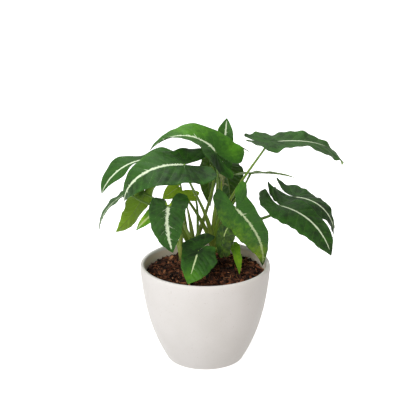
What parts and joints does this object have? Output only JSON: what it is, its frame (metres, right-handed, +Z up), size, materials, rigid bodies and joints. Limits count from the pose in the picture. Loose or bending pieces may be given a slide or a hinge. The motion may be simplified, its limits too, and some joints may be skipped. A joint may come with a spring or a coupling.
{
  "type": "potted arrowhead plant",
  "caption": "Potted foliage plant with arched arrow-shaped velvety leaves, each with a pale feathered midrib, on slim stalks in a rounded off-white ceramic pot of dark bark soil.",
  "frame": {"origin": "centre of the pot's flat underside, on the surface that it stands on", "axes": "+Z up along the pot's axis, -Y towards the plant's front as the picture shows it, +X to its right"},
  "size_m": [0.2749, 0.2086, 0.2787],
  "materials": {
    "ceramic": "matt off-white ceramic, faintly speckled",
    "soil": "rough dark potting mix of bark chips and fibre",
    "stalk": "smooth fresh green stem",
    "leaf": "velvety dark green leaf with a cream midrib"
  },
  "bodies": {
    "root": {"pot": "ceramic", "soil": "soil", "stem_a": "stalk", "stem_b": "stalk", "stem_c": "stalk", "stem_d": "stalk", "stem_e": "stalk", "leaf_01": "leaf", "leaf_02": "leaf", "leaf_03": "leaf", "leaf_04": "leaf", "leaf_05": "leaf", "leaf_06": "leaf", "leaf_07": "leaf", "leaf_08": "leaf", "leaf_09": "leaf", "leaf_10": "leaf", "leaf_11": "leaf", "leaf_12": "leaf", "leaf_13": "leaf", "leaf_14": "leaf", "leaf_15": "leaf", "leaf_16": "leaf", "leaf_17": "leaf", "leaf_18": "leaf", "leaf_19": "leaf", "leaf_20": "leaf", "leaf_21": "leaf", "leaf_22": "leaf", "leaf_23": "leaf", "leaf_24": "leaf", "leaf_25": "leaf"}
  },
  "joints": []
}
